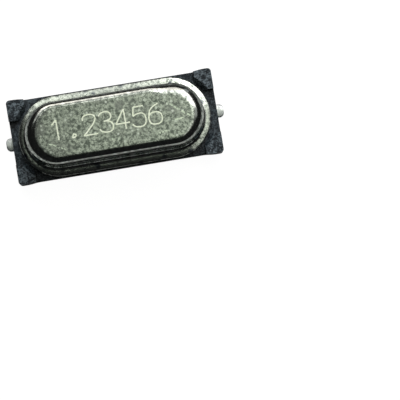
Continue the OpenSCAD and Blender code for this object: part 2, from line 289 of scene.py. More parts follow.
# Sizes are in millimetres, and each roughness goes from the low side of its mask to the high side
plating = {
    "light": (0.75, 0.84, 0.79, 1),
    "dark": (0.17, 0.21, 0.19, 1),
    "polished": (0.73, 0.77, 0.76, 1),
    "stain": (0.33, 0.36, 0.36, 1),
    "fleck": (0.90, 1.0, 0.97, 1),
    "scratch": (0.80, 0.97, 0.76, 1),
    "weld": (0.09, 0.11, 0.14, 1),
    "blotches": (0.19, 0.35),  # blotches and clouds: a size, and how much of the finer size is mixed in
    "contrast": (0.40, 0.60),  # the blotches turn from dark to light between these
    "flangeLift": 0.04,  # the flange is pressed smoother than the body, so it is lighter
    "polish": 0.5,
    "polishDepths": ((0.012, 0.045), (0.25, 0.12)),  # below the top, where the polish comes and goes
    "clouds": (1.7, 0.3),
    "cloudFade": (0.5, 0.7, 0.0, 0.5),  # a fade: from, to, and what it gives at each
    "flecks": (0.3, 0.1, 0.5),  # specks: a spacing, a size and the share of places that hold one
    "hairs": (0.5, 0.9, 0.14, 0.12),  # fine scratches: a turn, a length, a spacing and a share
    "hairStrength": 0.4,
    "burns": (0.5, 0.2, 0.5),
    "flangeRise": 0.02,  # the flange's own finish ends this far above its sheet
    # Scratches on the top, each from one point to another
    "lines": [((3.15, 0.62), (4.3, -0.28)), ((3.3, -0.4), (3.85, -0.33)), ((-3.8, -0.58), (-2.95, -1.02)),
              ((-0.35, -0.86), (0.1, -0.95)), ((2.2, -1.0), (2.9, -0.92))],
    "lineWidth": 0.08,
    "lineScatter": 0.45,
    "smudges": [((3.35, 0.25), 0.32), ((-4.3, 0.3), 0.5), ((0.4, 0.95), 0.35)],  # each a place and a reach
    "smudgeFade": (1.0, 1.6, 0.7, 0.0),
    "roughness": (0.21, 0.11),
    "roughSpan": (0.35, 0.65),
    "depth": 0.0036,
    "markDepth": 0.35,
}

# The header has no scratches or smudges
headerPlating = dict(plating, light=(0.70, 0.71, 0.64, 1), dark=(0.45, 0.46, 0.41, 1),
                     blotches=(0.16, 0.35), depth=0.003, lines=[], smudges=[])


def platedMetal(name, look):
    material, tree, shader, place = startMaterial(name, {"Metallic": 1.0})
    blotches = blotchMask(tree, place, *look["blotches"])
    height = addNode(tree, "ShaderNodeSeparateXYZ", {0: place}).outputs["Z"]
    flange = calc(tree, "LESS_THAN", height, flangeTop + look["flangeRise"])
    lifted = calc(tree, "ADD", blotches, calc(tree, "MULTIPLY", flange, look["flangeLift"]))
    contrast = fadeBetween(tree, lifted, *look["contrast"])
    # Drawing the sheet over the shoulder has polished it
    (first, full), (last, least) = look["polishDepths"]
    polish = fadeBetween(tree, height, canTop - first, canTop - full, 0.0, look["polish"])
    polish = calc(tree, "MULTIPLY", polish, fadeBetween(tree, height, canTop - last, canTop - least))
    clouds = blotchMask(tree, place, *look["clouds"])
    flecks = speckMask(tree, place, *look["flecks"])
    hairs = calc(tree, "MULTIPLY", scratchMask(tree, place, *look["hairs"]), look["hairStrength"])
    body = calc(tree, "SUBTRACT", 1.0, flange)
    marks = calc(tree, "MULTIPLY", calc(tree, "MAXIMUM", flecks, hairs), body)
    scored = 0.0
    for start, end in look["lines"]:
        line = useGroup(tree, scratchLine, {"Place": place, "Width": look["lineWidth"],
                                            "From": start + (canTop,), "To": end + (canTop,)})
        scored = calc(tree, "MAXIMUM", scored, line)
    marks = calc(tree, "MAXIMUM", marks, scored)
    tone = blendColours(tree, contrast, look["dark"], look["light"])
    tone = blendColours(tree, polish, tone, look["polished"])
    dull = fadeBetween(tree, clouds, *look["cloudFade"])
    for spot, reach in look["smudges"]:
        away = vectorCalc(tree, "DISTANCE", place, spot + (canTop,))
        edge = calc(tree, "ADD", calc(tree, "DIVIDE", away, reach), blotches)
        dull = calc(tree, "MAXIMUM", dull, fadeBetween(tree, edge, *look["smudgeFade"]))
    stained = blendColours(tree, dull, tone, look["stain"])
    marked = blendColours(tree, marks, stained, look["fleck"])
    if look["lines"]:
        # A scratch scatters light
        marked = blendColours(tree, scored, marked, look["scratch"])
        metal = calc(tree, "SUBTRACT", 1.0, calc(tree, "MULTIPLY", scored, look["lineScatter"]))
        tree.links.new(metal, shader.inputs["Metallic"])
    # Dark spots of the weld, on the flange alone
    welded = calc(tree, "MULTIPLY", speckMask(tree, place, *look["burns"]), flange)
    colour = blendColours(tree, welded, marked, look["weld"])
    linkFinish(tree, shader, colour, blotches, look["roughness"], look["roughSpan"])
    relief = calc(tree, "SUBTRACT", blotches, calc(tree, "MULTIPLY", marks, look["markDepth"]))
    relief = calc(tree, "MULTIPLY", relief, calc(tree, "SUBTRACT", 1.0, polish))
    addBump(tree, shader, relief, look["depth"])
    return material


tin = {
    "light": (0.86, 0.95, 0.96, 1),
    "dark": (0.62, 0.70, 0.72, 1),
    "blotches": (0.13, 0.3),
    "contrast": (0.35, 0.65),
    "drawn": (0.0, 1.2, 0.05, 0.25),  # lines left by the drawing die
    "drawnDepth": 0.3,
    "roughness": (0.45, 0.26),
    "depth": 0.002,
}


def tinnedWire(look):
    material, tree, shader, place = startMaterial("tinnedWire", {"Metallic": 1.0})
    blotches = blotchMask(tree, place, *look["blotches"])
    drawn = scratchMask(tree, place, *look["drawn"])
    colour = blendColours(tree, fadeBetween(tree, blotches, *look["contrast"]), look["dark"], look["light"])
    linkFinish(tree, shader, colour, blotches, look["roughness"])
    relief = calc(tree, "SUBTRACT", blotches, calc(tree, "MULTIPLY", drawn, look["drawnDepth"]))
    addBump(tree, shader, relief, look["depth"])
    return material


plastic = {
    "dark": (0.009, 0.014, 0.018, 1),
    "light": (0.122, 0.158, 0.182, 1),
    "fibre": (0.30, 0.37, 0.41, 1),
    "rubbed": (0.12, 0.14, 0.15, 1),
    "blotches": (0.24, 0.5),
    "contrast": (0.45, 0.61),
    "fibres": (0.2, 0.24, 0.09, 0.18),
    "fibreDepth": 0.3,
    "paintedShadeFade": (0.85, 1.25, 0.45, 1.0),  # painted shade: the plastic is painted darker low down, where shade falls beside and below the can, than on top of the posts
    "wornReach": 0.03,
    "wornBreaks": 0.15,
    "wornStrength": 0.6,
    "ior": 1.5,
    "gloss": 0.25,
    "roughness": (0.62, 0.42),
    "depth": 0.010,
}


def mouldedPlastic(look):
    material, tree, shader, place = startMaterial(
        "mouldedPlastic", {"IOR": look["ior"], "Specular IOR Level": look["gloss"]})
    blotches = blotchMask(tree, place, *look["blotches"])
    fibres = scratchMask(tree, place, *look["fibres"])
    edges = useGroup(tree, wornEdge, {"Place": place, "Reach": look["wornReach"],
                                      "Break Up": look["wornBreaks"]})
    height = addNode(tree, "ShaderNodeSeparateXYZ", {0: place}).outputs["Z"]
    # Painted shade: low parts of the base are darkened, and their pale fibres hidden, as if in the can's
    # shade
    raised = fadeBetween(tree, height, *look["paintedShadeFade"])
    pale = calc(tree, "MULTIPLY", fadeBetween(tree, blotches, *look["contrast"]), raised)
    tone = blendColours(tree, pale, look["dark"], look["light"])
    flecked = blendColours(tree, calc(tree, "MULTIPLY", fibres, raised), tone, look["fibre"])
    worn = blendColours(tree, calc(tree, "MULTIPLY", edges, look["wornStrength"]), flecked, look["rubbed"])
    linkFinish(tree, shader, worn, blotches, look["roughness"])
    relief = calc(tree, "ADD", blotches, calc(tree, "MULTIPLY", fibres, look["fibreDepth"]))
    addBump(tree, shader, relief, look["depth"])
    return material


glass = {
    "dark": (0.012, 0.025, 0.035, 1),
    "light": (0.03, 0.06, 0.07, 1),
    "bubble": (0.2, 0.26, 0.28, 1),
    "swirl": (0.3, 0.2),
    "bubbles": (0.09, 0.02, 0.4),
    "ior": 1.52,
    "roughness": 0.08,
    "depth": 0.002,
}


def sealGlass(look):
    material, tree, shader, place = startMaterial(
        "sealGlass", {"IOR": look["ior"], "Roughness": look["roughness"]})
    bubbles = speckMask(tree, place, *look["bubbles"])
    swirl = blotchMask(tree, place, *look["swirl"])
    tone = blendColours(tree, swirl, look["dark"], look["light"])
    tree.links.new(blendColours(tree, bubbles, tone, look["bubble"]), shader.inputs["Base Color"])
    addBump(tree, shader, calc(tree, "ADD", swirl, bubbles), look["depth"])
    return material


quartz = {
    "dark": (0.82, 0.90, 0.92, 1),
    "light": (0.94, 0.97, 0.98, 1),
    "lapping": (0.05, 0.5),
    "clouds": (1.2, 0.2),
    "ior": 1.54,
    "clear": 0.75,
    "roughness": (0.06, 0.2),
    "depth": 0.0005,
}


def polishedQuartz(look):
    material, tree, shader, place = startMaterial(
        "polishedQuartz", {"IOR": look["ior"], "Transmission Weight": look["clear"]})
    lapping = blotchMask(tree, place, *look["lapping"])
    clouds = blotchMask(tree, place, *look["clouds"])
    colour = blendColours(tree, clouds, look["dark"], look["light"])
    linkFinish(tree, shader, colour, lapping, look["roughness"])
    addBump(tree, shader, lapping, look["depth"])
    return material


film = {
    "dark": (0.78, 0.78, 0.76, 1),
    "light": (0.93, 0.92, 0.88, 1),
    "haze": (0.6, 0.4),
    "roughness": (0.12, 0.3),
}


def metalFilm(look):
    material, tree, shader, place = startMaterial("metalFilm", {"Metallic": 1.0})
    haze = blotchMask(tree, place, *look["haze"])
    colour = blendColours(tree, haze, look["dark"], look["light"])
    linkFinish(tree, shader, colour, haze, look["roughness"])
    return material


strip = {
    "dark": (0.50, 0.50, 0.48, 1),
    "light": (0.68, 0.67, 0.63, 1),
    "rolled": (0.0, 0.9, 0.03, 0.5),
    "blotches": (0.25, 0.4),
    "roughness": (0.22, 0.4),
    "depth": 0.0006,
}


def springStrip(look):
    material, tree, shader, place = startMaterial("springStrip", {"Metallic": 1.0})
    rolled = scratchMask(tree, place, *look["rolled"])
    blotches = blotchMask(tree, place, *look["blotches"])
    colour = blendColours(tree, blotches, look["dark"], look["light"])
    linkFinish(tree, shader, colour, rolled, look["roughness"], fullSpan)
    addBump(tree, shader, rolled, look["depth"])
    return material


glue = {
    "dark": (0.33, 0.33, 0.32, 1),
    "light": (0.52, 0.52, 0.50, 1),
    "flake": (0.8, 0.8, 0.78, 1),
    "flakes": (0.04, 0.02, 0.6),
    "lumps": (0.12, 0.5),
    "metal": 0.6,
    "roughness": (0.55, 0.3),
    "depth": 0.004,
}


def silverGlue(look):
    material, tree, shader, place = startMaterial("silverGlue", {"Metallic": look["metal"]})
    flakes = speckMask(tree, place, *look["flakes"])
    lumps = blotchMask(tree, place, *look["lumps"])
    tone = blendColours(tree, lumps, look["dark"], look["light"])
    colour = blendColours(tree, flakes, tone, look["flake"])
    linkFinish(tree, shader, colour, flakes, look["roughness"], fullSpan)
    addBump(tree, shader, calc(tree, "ADD", lumps, flakes), look["depth"])
    return material


engravedFinish = {
    "dark": (0.68, 0.81, 0.58, 1),
    "light": (0.88, 0.95, 0.82, 1),
    "frost": (0.09, 0.5),
    "contrast": (0.35, 0.65),
    "roughness": (0.75, 0.5),
    "depth": 0.003,
}


def engravedLine(look):
    material, tree, shader, place = startMaterial("engravedLine", {"Metallic": 0.0})
    frost = blotchMask(tree, place, *look["frost"])
    colour = blendColours(tree, fadeBetween(tree, frost, *look["contrast"]), look["dark"], look["light"])
    linkFinish(tree, shader, colour, frost, look["roughness"])
    addBump(tree, shader, frost, look["depth"])
    return material


canMetal = platedMetal("canPlating", plating)
headerMetal = platedMetal("headerPlating", headerPlating)
wireTin = tinnedWire(tin)
basePlastic = mouldedPlastic(plastic)
engraving = engravedLine(engravedFinish)
# The hidden inner pieces keep their shapes and get a finish each
innerFinishes = {
    "glass_seal": sealGlass(glass),
    "clip": springStrip(strip),
    "quartz_blank": polishedQuartz(quartz),
    "electrode": metalFilm(film),
    "glue": silverGlue(glue),
}
for nodeName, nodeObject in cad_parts.items():
    for start, finish in innerFinishes.items():
        if nodeName.startswith(start):
            nodeObject.data.materials.clear()
            nodeObject.data.materials.append(finish)
print("materials made")


mergeReach = 1e-4  # corners nearer than this become one
tiny = 1e-5  # edges shorter than this are taken out
margin = 0.001  # keeps a corner that lies on a limit inside it
past = 0.2  # a cutting tool reaches this far beyond what it cuts


def bentLine(bm, corners, place=lambda across, up: (0, -across, up), steps=8):
    # A line through corners given as across, up and how far before the corner its bend starts
    points = [bm.verts.new(place(corner[0], corner[1])) for corner in corners]
    for first, second in zip(points, points[1:]):
        bm.edges.new((first, second))
    for point, corner in zip(points, corners):
        if len(corner) > 2:
            bmesh.ops.bevel(bm, geom=[point], offset=corner[2], offset_type="OFFSET", segments=steps,
                            profile=0.5, affect="VERTICES", material=-1)


def carryRound(bm, spine, steps):
    # Carries a half section, drawn at the middle towards -Y, round a plan with round ends
    bmesh.ops.translate(bm, vec=(spine / 2, 0, 0), verts=bm.verts)
    geom = bm.verts[:] + bm.edges[:]
    for side in (1, -1):
        turned = bmesh.ops.spin(bm, geom=geom, cent=(side * spine / 2, 0, 0), axis=(0, 0, 1),
                                angle=halfTurn, steps=steps)["geom_last"]
        edges = [part for part in turned if isinstance(part, bmesh.types.BMEdge)]
        drawn = bmesh.ops.extrude_edge_only(bm, edges=edges)["geom"]
        moved = [part for part in drawn if isinstance(part, bmesh.types.BMVert)]
        bmesh.ops.translate(bm, vec=(-side * spine, 0, 0), verts=moved)
        geom = moved + [part for part in drawn if isinstance(part, bmesh.types.BMEdge)
                        and all(vert in moved for vert in part.verts)]
    closeUp(bm)


def closeUp(bm):
    bmesh.ops.remove_doubles(bm, verts=bm.verts, dist=mergeReach)
    bmesh.ops.dissolve_degenerate(bm, edges=bm.edges, dist=tiny)
    bmesh.ops.recalc_face_normals(bm, faces=bm.faces)


def addBlock(bm, low, high):
    size = Vector(high) - Vector(low)
    verts = bmesh.ops.create_cube(bm, size=1.0)["verts"]
    bmesh.ops.scale(bm, vec=size, verts=verts)
    bmesh.ops.translate(bm, vec=(Vector(high) + Vector(low)) / 2, verts=verts)
    return verts


def looseObject(bm, name):
    mesh = bpy.data.meshes.new(name)
    bm.to_mesh(mesh)
    bm.free()
    piece = bpy.data.objects.new(name, mesh)
    scene.collection.objects.link(piece)
    return piece


def carve(bm, tools):
    # Joins or cuts whole shapes, in the order given
    block = looseObject(bm, "block")
    loose = [looseObject(tool, "tool") for way, tool in tools]
    for (way, tool), piece in zip(tools, loose):
        step = block.modifiers.new(way, "BOOLEAN")
        step.operation = way
        step.solver = "EXACT"
        step.object = piece
    done = block.evaluated_get(bpy.context.evaluated_depsgraph_get())
    result = bmesh.new()
    result.from_mesh(done.to_mesh())
    for piece in loose + [block]:
        bpy.data.objects.remove(piece)
    bmesh.ops.remove_doubles(result, verts=result.verts, dist=mergeReach)
    return result


def softenEdges(piece, width, angle=40, segments=2):
    edge = piece.modifiers.new("softEdge", "BEVEL")
    edge.width = width * mm
    edge.segments = segments
    edge.limit_method = "ANGLE"
    edge.angle_limit = math.radians(angle)
    edge.use_clamp_overlap = True
    edge.harden_normals = True


def finishPiece(bm, name, material, node, sharp=35, edge=0):
    # Corners that turn more than the sharp angle, in degrees, stay crisp
    bmesh.ops.scale(bm, vec=(mm,) * 3, verts=bm.verts)
    piece = looseObject(bm, name)
    piece.data.materials.append(material)
    piece.data.shade_smooth()
    piece.data.set_sharp_from_angle(angle=math.radians(sharp))
    if edge:
        softenEdges(piece, edge)
    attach(piece, "root")
    if node:
        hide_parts(node)
    print(name, "made,", len(piece.data.polygons), "faces")


can = {
    "bodyWidth": 3.56,
    "bodyLength": 10.2,
    "shoulder": 0.38,  # radius of the shoulder along the sides
    "endShoulder": 0.65,
    "softRun": 1.2,  # the softer corner grows over this length of its side
    "softSteps": 10,
    "crown": 0.3,  # the top falls a little over this width before its shoulder
    "fall": 0.012,
    "foot": 0.2,
    "ring": 0.05,  # a ring of edges this far from each bend keeps the flats flat
    "flangeDips": (0.024, 0.054),  # how far the flange has fallen at its crease and at its edge
    "flangeCrease": 0.2,
    "creaseBend": 0.08,
    "flangeEdge": 0.05,
    "endSteps": 56,
}
flangeEdge = canHigh.y
flangeSpine = 2 * (canHigh.x - canHigh.y)
bodyEdge = can["bodyWidth"] / 2
bodySpine = can["bodyLength"] - can["bodyWidth"]


def pullFlangeIn(bm, beyond):
    # The flange's ends are drawn round centres that lie a little nearer to the middle
    for side in (1, -1):
        end = [vert for vert in bm.verts if side * vert.co.x >= bodySpine / 2 - margin
               and math.hypot(side * vert.co.x - bodySpine / 2, vert.co.y) > beyond]
        bmesh.ops.translate(bm, vec=(side * (flangeSpine - bodySpine) / 2, 0, 0), verts=end)


def easeShare(share):
    return share * share * (3 - 2 * share)


def easeEnds(bm, look):
    # The shoulder's radius grows towards the middle of each end; the sheet's thickness stays
    radius = look["shoulder"]
    run = look["softRun"]
    start = bodySpine / 2 - run
    for step in range(look["softSteps"]):
        bmesh.ops.bisect_plane(bm, geom=bm.verts[:] + bm.edges[:] + bm.faces[:], dist=tiny,
                               plane_co=(start + run * step / look["softSteps"], 0, 0), plane_no=(1, 0, 0))
    reach = -look["crown"] - margin
    for vert in bm.verts:
        across = math.copysign(max(0, abs(vert.co.x) - bodySpine / 2), vert.co.x)
        out = math.hypot(across, vert.co.y)
        fromCentre = Vector((out - bodyEdge + radius, vert.co.z - canTop + radius))
        if min(fromCentre) < reach:
            continue
        share = abs(across / out)
        if min(vert.co.x, vert.co.y) > 0:
            # One corner is softer all round, and a little way along its side
            share = min(1, max(0, (vert.co.x - start) / run))
        growth = (look["endShoulder"] - radius) * easeShare(share)
        fromCentre = Vector([max(0, part) for part in fromCentre])
        moved = fromCentre.normalized() * growth - Vector((growth, growth))
        vert.co += Vector((across / out * moved.x, vert.co.y / out * moved.x, moved.y))


def makeCan(look):
    bm = bmesh.new()
    foot = look["foot"]
    inner = bodyEdge - canSheet
    edge = look["flangeEdge"]
    dips = look["flangeDips"]
    shoulder = look["shoulder"]
    ring = look["ring"]
    bentLine(bm, [
        (0, canTop),
        (bodyEdge - shoulder - look["crown"], canTop, look["crown"] / 2),
        (bodyEdge, canTop - look["fall"], shoulder),
        (bodyEdge, canTop - shoulder - ring),
        (bodyEdge, flangeTop + foot + ring),
        (bodyEdge, flangeTop, foot),
        (flangeEdge - look["flangeCrease"], flangeTop - dips[0], look["creaseBend"]),
        (flangeEdge, flangeTop - dips[1], edge),
        (flangeEdge, canLow.z, edge / 2),
        (inner, canLow.z, foot + canSheet),
        (inner, canTop - canSheet, shoulder - canSheet),
        (0, canTop - canSheet),
    ])
    carryRound(bm, bodySpine, look["endSteps"])
    easeEnds(bm, look)
    pullFlangeIn(bm, bodyEdge + foot + margin)
    finishPiece(bm, "drawnCan", canMetal, "can")


makeCan(can)


headerLow, headerHigh = boxInMm("header")
sealLow, sealHigh = boxInMm("glass_seal_right")
header = {
    "sheet": 0.25,
    "platformEdge": 0.35,
    "platformFoot": 0.1,
    "platformGap": 0.13,  # between the platform and the can's wall
    "flangeEdge": 0.04,
    "collarWall": 0.2,
    "collarLift": 0.05,  # the collars start this far above the flange's underside
    "entry": 0.2,  # radius where the bore meets the platform's top
    "endSteps": 40,
    "boreSteps": 64,
}
platformTop = headerHigh.z
sealX = (sealLow.x + sealHigh.x) / 2
boreEdge = (sealHigh.x - sealLow.x) / 2


def makeHeader(look):
    bm = bmesh.new()
    sheet = look["sheet"]
    flange = headerLow.z + sheet
    platform = bodyEdge - canSheet - look["platformGap"]
    hollow = platform - sheet
    bentLine(bm, [
        (0, platformTop),
        (platform, platformTop, look["platformEdge"]),
        (platform, flange, look["platformFoot"]),
        (flangeEdge, flange, look["flangeEdge"]),
        (flangeEdge, headerLow.z, look["flangeEdge"]),
        (hollow, headerLow.z, look["platformFoot"] + sheet),
        (hollow, platformTop - sheet, look["platformEdge"] - sheet),
        (0, platformTop - sheet),
    ])
    carryRound(bm, bodySpine, look["endSteps"])
    pullFlangeIn(bm, bodyEdge)
    tools = []
    for side in (1, -1):
        collar = bmesh.new()
        low = headerLow.z + look["collarLift"]
        high = platformTop - sheet / 2
        radius = boreEdge + look["collarWall"]
        bmesh.ops.create_cone(collar, cap_ends=True, segments=look["boreSteps"], radius1=radius,
                              radius2=radius, depth=high - low)
        bmesh.ops.translate(collar, vec=(side * sealX, 0, (high + low) / 2), verts=collar.verts)
        tools.append(("UNION", collar))
    for side in (1, -1):
        bore = bmesh.new()
        wide = boreEdge + 2 * look["entry"]
        bentLine(bore, [
            (0, headerLow.z - past),
            (boreEdge, headerLow.z - past),
            (boreEdge, platformTop, look["entry"]),
            (wide, platformTop),
            (wide, platformTop + past),
            (0, platformTop + past),
        ])
        bmesh.ops.spin(bore, geom=bore.verts[:] + bore.edges[:], cent=(0, 0, 0), axis=(0, 0, 1),
                       angle=2 * halfTurn, steps=look["boreSteps"], use_merge=True)
        closeUp(bore)
        bmesh.ops.translate(bore, vec=(side * sealX, 0, 0), verts=bore.verts)
        tools.append(("DIFFERENCE", bore))
    finishPiece(carve(bm, tools), "pressedHeader", headerMetal, "header")


makeHeader(header)


baseLow, baseHigh = boxInMm("insulator_base")
leadHigh = boxInMm("lead_right")[1]
base = {
    "proud": 0.06,  # how far the posts stand out of the base's long sides
    "run": 0.42,  # the length over which they swell out
    "runGap": 0.01,  # keeps the two bends of that swelling apart
    "postLength": 1.02,
    "postWidth": 1.13,
    "postRoom": 0.12,  # between the flange and the posts
    "postLean": 0.25,
    "corner": 0.2,
    "cornerSteps": 6,
    "endSteps": 48,
    "lowerBevel": 0.09,
    "channelGap": 0.18,
    "roof": 0.28,  # the lead channels' height
    "holeInner": 2.105,
    "holeOuter": 2.95,
    "holeBevel": 0.16,
    "softEdge": 0.035,
}


def baseOutline(bm, look):
    # A quarter of the plan, mirrored twice
    reach = baseHigh.x
    wide = baseHigh.y
    proud = look["proud"]
    postX = reach - look["postLength"]
    bend = look["run"] / 2 - look["runGap"]
    low = baseLow.z + look["lowerBevel"]
    bentLine(bm, [
        (0, wide - proud),
        (postX, wide - proud, bend),
        (postX + look["run"], wide, bend),
        (reach, wide, look["corner"]),
        (reach, 0),
    ], place=lambda across, along: (across, along, low), steps=look["cornerSteps"])
    for axis in ("X", "Y"):
        bmesh.ops.mirror(bm, geom=bm.verts[:] + bm.edges[:], matrix=Matrix.Identity(4),
                         merge_dist=mergeReach, axis=axis)
    bmesh.ops.remove_doubles(bm, verts=bm.verts, dist=mergeReach)


def makeBase(look):
    bm = bmesh.new()
    baseOutline(bm, look)
    plan = bmesh.ops.contextual_create(bm, geom=bm.edges[:])["faces"]
    raised = bmesh.ops.extrude_face_region(bm, geom=plan, use_keep_orig=True)["geom"]
    bmesh.ops.translate(bm, vec=(0, 0, baseHigh.z - baseLow.z - look["lowerBevel"]),
                        verts=[part for part in raised if isinstance(part, bmesh.types.BMVert)])
    bmesh.ops.recalc_face_normals(bm, faces=bm.faces)
    under = [face for face in bm.faces if face.normal.z < -0.9]
    bmesh.ops.inset_region(bm, faces=under, thickness=look["lowerBevel"], depth=look["lowerBevel"],
                           use_even_offset=True)
    # What is left between the posts is the floor that the header stands on
    floorTop = headerLow.z
    tools = []
    for length, width in ((baseHigh.x + past, baseHigh.y - look["proud"] - look["postWidth"]),
                          (baseHigh.x - look["postLength"], baseHigh.y + past)):
        room = bmesh.new()
        addBlock(room, (-length, -width, floorTop), (length, width, baseHigh.z + past))
        tools.append(("DIFFERENCE", room))
    # The posts' inner faces follow the flange and lean away from it
    room = bmesh.new()
    roomEdge = flangeEdge + look["postRoom"]
    slope = look["postLean"] / (baseHigh.z - floorTop)
    bentLine(room, [
        (0, floorTop),
        (roomEdge, floorTop),
        (roomEdge + look["postLean"] + slope * past, baseHigh.z + past),
        (0, baseHigh.z + past),
    ])
    carryRound(room, flangeSpine, look["endSteps"])
    tools.append(("DIFFERENCE", room))
    halfChannel = leadHigh.y + look["channelGap"]
    start = look["holeInner"]
    bevel = look["holeBevel"]
    for side in (1, -1):
        channel = bmesh.new()
        addBlock(channel, (start, -halfChannel, -past), (baseHigh.x + past, halfChannel, look["roof"]))
        hole = bmesh.new()
        addBlock(hole, (start, -halfChannel, -past), (look["holeOuter"], halfChannel, floorTop + past))
        # The underside slopes up into the hole, by a quarter of the bevel's length
        entry = bmesh.new()
        slant = addBlock(entry, (-bevel, -halfChannel, -past), (3 * bevel, halfChannel, bevel))
        bmesh.ops.translate(entry, vec=(start, 0, baseLow.z), verts=slant)
        for vert in slant:
            if vert.co.x < start and vert.co.z > baseLow.z:
                vert.co.z = baseLow.z
        for tool in (channel, hole, entry):
            if side < 0:
                bmesh.ops.rotate(tool, cent=(0, 0, 0), matrix=Matrix.Rotation(halfTurn, 3, "Z"),
                                 verts=tool.verts)
            tools.append(("DIFFERENCE", tool))
    finishPiece(carve(bm, tools), "mouldedBase", basePlastic, "insulator_base",
                sharp=30, edge=look["softEdge"])


makeBase(base)


clipLow = boxInMm("clip_right")[0]
lead = {
    "wire": 0.44,
    "flat": 0.21,  # thickness where the wire is pressed flat
    "bend": 0.35,
    "headWidth": 0.85,
    "headThickness": 0.12,
    "headBevel": 0.02,
    "tipCorner": 0.26,
    "tipBevel": 0.4,  # length of the slope under the tip
    "tipRise": 0.1,
    "sides": 40,
    "bendSteps": 24,
    "tipSteps": 8,
}


def leadRing(bm, look, share):
    # The wire's section where it is partly pressed flat; its area stays the same
    thick = look["wire"] + (look["flat"] - look["wire"]) * easeShare(share)
    half = thick / 2
    spread = math.pi * ((look["wire"] / 2) ** 2 - half ** 2) / (4 * half)
    verts = bmesh.ops.create_circle(bm, segments=look["sides"], radius=half)["verts"]
    for side in (1, -1):
        bmesh.ops.translate(bm, vec=(0, side * spread, 0),
                            verts=[vert for vert in verts if side * vert.co.y > 0])
    return verts


def makeLead(name, node, look, side):
    bm = bmesh.new()
    bendTop = look["flat"] / 2 + look["bend"]
    headTop = clipLow.z
    headUnder = headTop - look["headThickness"]
    wide = look["headWidth"]
    bevel = look["headBevel"]
    # A nail head, then the round wire down to its bend
    rings = []
    for height, width in ((headTop, wide - 2 * bevel), (headTop - bevel, wide), (headUnder + bevel, wide),
                          (headUnder, wide - 2 * bevel), (headUnder, look["wire"]),
                          (bendTop + bevel, look["wire"])):
        ring = leadRing(bm, look, 0)
        bmesh.ops.scale(bm, vec=(width / look["wire"],) * 2 + (1,), verts=ring)
        bmesh.ops.translate(bm, vec=(sealX, 0, height), verts=ring)
        rings.append(ring)
    for step in range(look["bendSteps"] + 1):
        share = step / look["bendSteps"]
        ring = leadRing(bm, look, share)
        bmesh.ops.translate(bm, vec=(-look["bend"], 0, 0), verts=ring)
        turn = Matrix.Rotation(-quarterTurn * share, 3, "Y")
        bmesh.ops.rotate(bm, cent=(0, 0, 0), matrix=turn, verts=ring)
        bmesh.ops.translate(bm, vec=(sealX + look["bend"], 0, bendTop), verts=ring)
        rings.append(ring)
    # The round tip narrows over its corners' radius
    flatEnd = rings[-1]
    halfWide = max(vert.co.y for vert in flatEnd)
    corner = look["tipCorner"]
    reach = leadHigh.x
    stations = [(reach - look["tipBevel"], 1.0)]
    for step in range(look["tipSteps"] + 1):
        turn = quarterTurn * step / look["tipSteps"]
        stations.append((reach - corner + corner * math.sin(turn),
                         (halfWide - corner + corner * math.cos(turn)) / halfWide))
    for along, narrow in stations:
        ring = leadRing(bm, look, 1)
        bmesh.ops.rotate(bm, cent=(0, 0, 0), matrix=Matrix.Rotation(-quarterTurn, 3, "Y"), verts=ring)
        bmesh.ops.scale(bm, vec=(1, narrow, 1), verts=ring)
        bmesh.ops.translate(bm, vec=(along, 0, look["flat"] / 2), verts=ring)
        rise = look["tipRise"] * max(0, along - reach + look["tipBevel"]) / look["tipBevel"]
        for vert in ring:
            vert.co.z = max(vert.co.z, rise)
        rings.append(ring)
    edgesOf = []
    for ring in rings:
        edgesOf.append([edge for edge in bm.edges if edge.verts[0] in ring and edge.verts[1] in ring])
    for first, second in zip(edgesOf, edgesOf[1:]):
        bmesh.ops.bridge_loops(bm, edges=first + second)
    for loop in (edgesOf[0], edgesOf[-1]):
        bmesh.ops.contextual_create(bm, geom=loop)
    if side < 0:
        bmesh.ops.rotate(bm, cent=(0, 0, 0), matrix=Matrix.Rotation(halfTurn, 3, "Z"), verts=bm.verts)
    bmesh.ops.recalc_face_normals(bm, faces=bm.faces)
    finishPiece(bm, name, wireTin, node, sharp=50)


makeLead("leadRight", "lead_right", lead, 1)
makeLead("leadLeft", "lead_left", lead, -1)


# Strokes of each digit, in a box one unit wide and high; a stroke's bends are rounded
digitStrokes = {
    "1": [[(0.2, 0.76), (0.55, 1.0)], [(0.55, 1.0), (0.55, 0.0)]],
    "2": [[(0.05, 0.74), (0.05, 1.0), (0.95, 1.0), (0.95, 0.56), (0.0, 0.0)], [(0.0, 0.0), (1.0, 0.0)]],
    "3": [[(0.05, 0.82), (0.12, 1.0), (0.9, 1.0), (0.9, 0.55), (0.35, 0.55)],
          [(0.35, 0.55), (0.98, 0.55), (0.98, 0.0), (0.1, 0.0), (0.0, 0.2)]],
    "4": [[(0.68, 0.0), (0.68, 1.0)], [(0.68, 1.0), (0.0, 0.3)], [(0.0, 0.3), (1.0, 0.3)]],
    "5": [[(0.9, 1.0), (0.2, 1.0)], [(0.2, 1.0), (0.1, 0.55)],
          [(0.1, 0.55), (0.3, 0.66), (0.98, 0.66), (0.98, 0.0), (0.1, 0.0), (0.0, 0.18)]],
    "6": [[(0.8, 1.0), (0.25, 0.85), (0.02, 0.5), (0.02, 0.3)],
          [(0.02, 0.3), (0.02, 0.6), (0.96, 0.6), (0.96, 0.0), (0.02, 0.0), (0.02, 0.3)]],
    ".": [[(0.38, 0.0), (0.38, 0.16), (0.62, 0.16), (0.62, 0.0), (0.38, 0.0)]],
}
marking = {
    "text": "1.23456",
    "height": 1.15,
    "width": 0.8,
    "pitch": 0.935,
    "centre": (-0.45, 0.12),
    "stroke": 0.078,
    "strokeSteps": 2,
    "bendSteps": 8,
    "bendOrder": 3,  # a higher order rounds the bends more
    "proud": 0.004,
}


